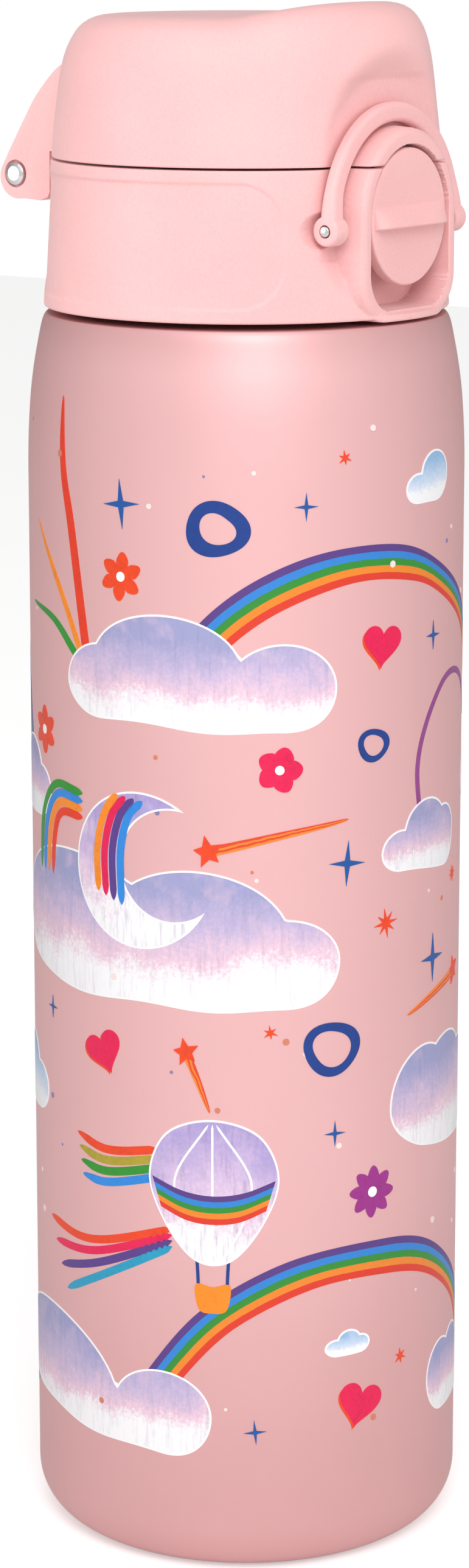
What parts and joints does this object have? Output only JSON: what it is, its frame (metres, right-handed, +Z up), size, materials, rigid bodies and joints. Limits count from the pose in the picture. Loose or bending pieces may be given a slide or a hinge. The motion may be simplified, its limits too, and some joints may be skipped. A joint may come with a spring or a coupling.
{
  "type": "kids water bottle",
  "caption": "Tall cylindrical drinking bottle with a screw cap and a hinged domed lid, held by a front rocker button and a fold-over lock loop.",
  "frame": {"origin": "centre of the bottle's flat base, on the surface it stands on", "axes": "+Z up along the bottle's axis, +X towards the push button, -X towards the lid hinge, +Y to complete a right-handed set"},
  "size_m": [0.0716, 0.065, 0.232],
  "materials": {
    "frosted_shell": "satin frosted",
    "cap_plastic": "fine moulded grain",
    "seal_silicone": "soft matte",
    "spout_silicone": "soft matte",
    "plug_plastic": "smooth moulded",
    "pin_steel": "polished ends"
  },
  "bodies": {
    "bottle": {"bottle_body": "frosted_shell"},
    "seal_ring": {"neck_seal": "seal_silicone"},
    "cap": {"cap_collar": "cap_plastic", "thread_sleeve": "cap_plastic", "mouthpiece": "spout_silicone", "vent_valve": "seal_silicone", "latch_pin": "pin_steel", "hinge_pin": "pin_steel", "button_spring": "pin_steel"},
    "lid": {"lid_shell": "cap_plastic", "lid_plug": "plug_plastic", "lid_seal": "seal_silicone"},
    "button": {"latch_button": "cap_plastic"},
    "loop": {"lock_loop": "cap_plastic"}
  },
  "joints": [
    {"name": "cap_lift", "type": "slide", "parent": "bottle", "child": "seal_ring", "axis": [0, 0, 1], "range_m": [0, 0.009]},
    {"name": "cap_screw", "type": "hinge", "parent": "seal_ring", "child": "cap", "pos_m": [0, 0, 0.1979], "axis": [0, 0, 1], "range_deg": [0, 810]},
    {"name": "lid_hinge", "type": "hinge", "parent": "cap", "child": "lid", "pos_m": [-0.0367, 0, 0.206], "axis": [0, -1, 0], "range_deg": [0, 115]},
    {"name": "button_press", "type": "hinge", "parent": "cap", "child": "button", "pos_m": [0.0254, 0, 0.2008], "axis": [0, 1, 0], "range_deg": [0, 8], "stiffness_Nm_per_rad": 0.2, "springref_deg": -2.86, "deforming": ["button_spring"]},
    {"name": "loop_fold", "type": "hinge", "parent": "cap", "child": "loop", "pos_m": [0.0254, 0, 0.2008], "axis": [0, 1, 0], "range_deg": [0, 120]}
  ],
  "couplings": [
    {"joint": "cap_lift", "follows": "cap_screw", "m_per_rad": 0.00063662}
  ]
}
